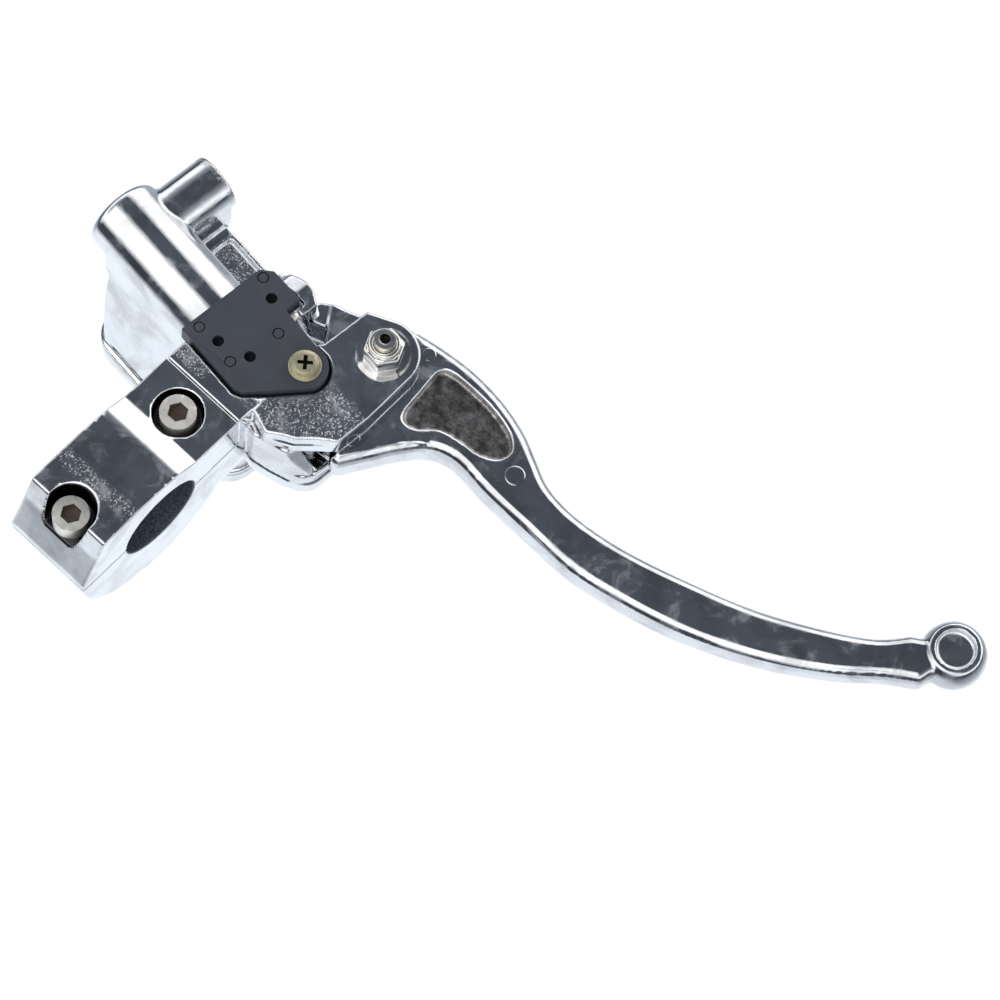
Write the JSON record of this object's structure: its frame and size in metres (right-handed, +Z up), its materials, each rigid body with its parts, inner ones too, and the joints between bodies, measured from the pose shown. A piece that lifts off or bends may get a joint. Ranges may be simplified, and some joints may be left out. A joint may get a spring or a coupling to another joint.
{
  "type": "motorcycle hydraulic clutch lever",
  "caption": "Chrome hydraulic clutch master cylinder with reservoir, bar clamp, safety switch and curved lever with a round end, for a 1 inch handlebar.",
  "frame": {"origin": "centre of the handlebar clamp's bore, at the middle of the clamp's width", "axes": "+X along the handlebar towards the lever's free end, +Y towards the rider, +Z up with the reservoir's cap on top; the lever and pivot lie in front of the bar, at -Y"},
  "size_m": [0.2584, 0.1579, 0.0765],
  "materials": {
    "chrome_casting": "bright plated, as-cast texture under the plating in places",
    "chrome_lever": "bright plated casting with polished edges and faint smudges",
    "nickel_fastener": "nickel-plated steel, warm tone",
    "zinc_fastener": "yellow-olive zinc plating",
    "switch_plastic": "fine matte moulded plastic",
    "black_plastic": "moulded plastic",
    "rubber_black": "moulded rubber",
    "piston_alloy": "gold anodised",
    "spring_steel": "drawn wire",
    "bronze": "sintered bronze",
    "contact_brass": "stamped brass"
  },
  "bodies": {
    "body": {"master_body": "chrome_casting", "clamp_cap": "chrome_casting", "clamp_bolts": "nickel_fastener", "reservoir_cap": "chrome_casting", "cap_screws": "nickel_fastener", "diaphragm_plate": "black_plastic", "diaphragm": "rubber_black", "splash_plate": "spring_steel", "return_spring": "spring_steel", "stop_washer": "spring_steel", "circlip": "spring_steel", "dust_boot": "rubber_black", "pivot_bolt": "nickel_fastener", "pivot_nut": "nickel_fastener", "switch_base": "switch_plastic", "switch_cover": "switch_plastic", "switch_spring": "spring_steel", "switch_contacts": "contact_brass", "switch_screw": "zinc_fastener", "switch_washer": "zinc_fastener"},
    "lever_unit": {"lever": "chrome_lever", "pivot_bush": "bronze"},
    "piston_unit": {"piston": "piston_alloy", "primary_cup": "rubber_black", "secondary_cup": "rubber_black"},
    "plunger_unit": {"switch_plunger": "nickel_fastener", "switch_blade": "contact_brass"}
  },
  "joints": [
    {"name": "lever_pivot", "type": "hinge", "parent": "body", "child": "lever_unit", "pos_m": [0.02677, -0.07099, 0], "axis": [0, 0, 1], "range_deg": [0, 18], "stiffness_Nm_per_rad": 1.2},
    {"name": "piston_slide", "type": "slide", "parent": "body", "child": "piston_unit", "axis": [-0.9945, -0.1045, 0], "range_m": [0, 0.0077], "deforming": ["return_spring", "dust_boot"]},
    {"name": "plunger_slide", "type": "slide", "parent": "body", "child": "plunger_unit", "axis": [0.1045, -0.9945, 0], "range_m": [0, 0.0021], "deforming": ["switch_spring"]}
  ],
  "couplings": [
    {"joint": "piston_slide", "follows": "lever_pivot", "m_per_rad": 0.0239},
    {"joint": "plunger_slide", "follows": "lever_pivot", "m_per_rad": 0.0064}
  ]
}
